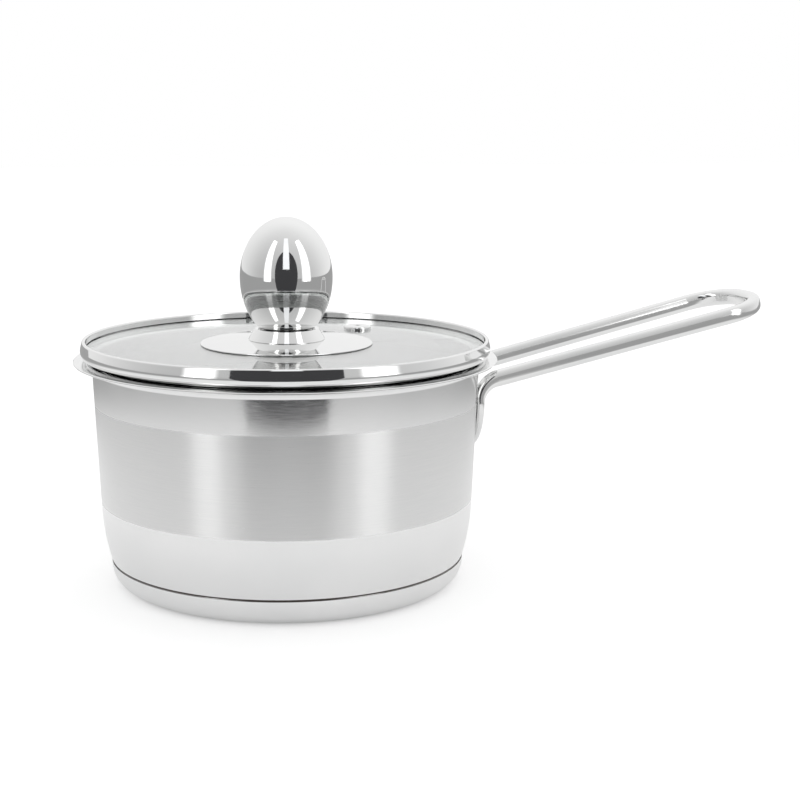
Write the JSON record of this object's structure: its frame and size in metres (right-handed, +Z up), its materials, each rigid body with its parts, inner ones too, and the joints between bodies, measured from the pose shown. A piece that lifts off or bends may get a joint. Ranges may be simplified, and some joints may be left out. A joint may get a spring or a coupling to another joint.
{
  "type": "saucepan with glass lid",
  "caption": "Small straight-sided saucepan with a flared lip, thick base, long looped handle and a flat glass lid with an egg-shaped knob.",
  "frame": {"origin": "centre of the base's underside, on the hob", "axes": "+Z up along the pan's axis, +X from the pan's axis out along the handle, +Y completes the right-handed frame"},
  "size_m": [0.2984, 0.1746, 0.1519],
  "materials": {
    "polished_steel": "mirror-polished stainless steel",
    "pan_steel": "stainless steel, polished with a satin band round the wall",
    "aluminium": "plain rolled aluminium",
    "glass": "clear toughened glass with a faint green edge",
    "silicone": "black heat-proof silicone",
    "zinc_steel": "zinc-plated or plain machined steel"
  },
  "bodies": {
    "pan": {"pan_body": "pan_steel", "base_core": "aluminium", "base_cap": "pan_steel", "handle_loop": "polished_steel"},
    "lid": {"lid_ring": "polished_steel", "lid_glass": "glass", "vent_eyelet": "polished_steel", "vent_washer": "polished_steel", "plate_gasket": "silicone", "knob_plate": "polished_steel", "knob_collar": "polished_steel", "knob_upper_shell": "polished_steel", "knob_lower_shell": "polished_steel", "knob_insert": "zinc_steel", "glass_seal": "silicone", "flat_washer": "zinc_steel", "spring_washer": "zinc_steel", "knob_screw": "zinc_steel"}
  },
  "joints": [
    {"name": "lid_lift", "type": "slide", "parent": "pan", "child": "lid", "axis": [0, 0, 1], "range_m": [0, 0.12]}
  ]
}
